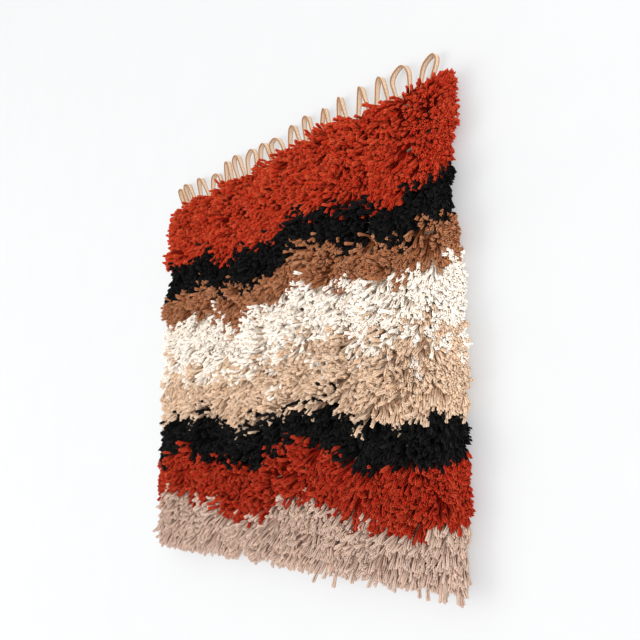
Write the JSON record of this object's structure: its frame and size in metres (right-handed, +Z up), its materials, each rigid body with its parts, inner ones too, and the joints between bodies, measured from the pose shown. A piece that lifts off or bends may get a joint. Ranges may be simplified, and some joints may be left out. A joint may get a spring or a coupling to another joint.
{
  "type": "latch hook wall hanging",
  "caption": "Shaggy latch hook wall hanging with a pile in waved bands of earth colours and a row of warp loops along its top edge.",
  "frame": {"origin": "middle of the line of loop crowns at the top edge, on the wall plane behind the hanging", "axes": "+Z up along the hanging, X across its width, -Y out of the wall through the pile"},
  "size_m": [0.5124, 0.0293, 0.5059],
  "materials": {
    "pile": "shag of cut wool yarn in waved bands",
    "canvas": "open weave ground cloth",
    "warp": "twisted linen warp thread",
    "rust": "cut wool yarn",
    "black": "cut wool yarn",
    "tan": "cut wool yarn",
    "cream": "cut wool yarn",
    "beige": "cut wool yarn",
    "taupe": "cut wool yarn"
  },
  "bodies": {
    "root": {"canvas": "canvas", "hanging_loops": "warp", "pile": "pile"}
  },
  "joints": []
}
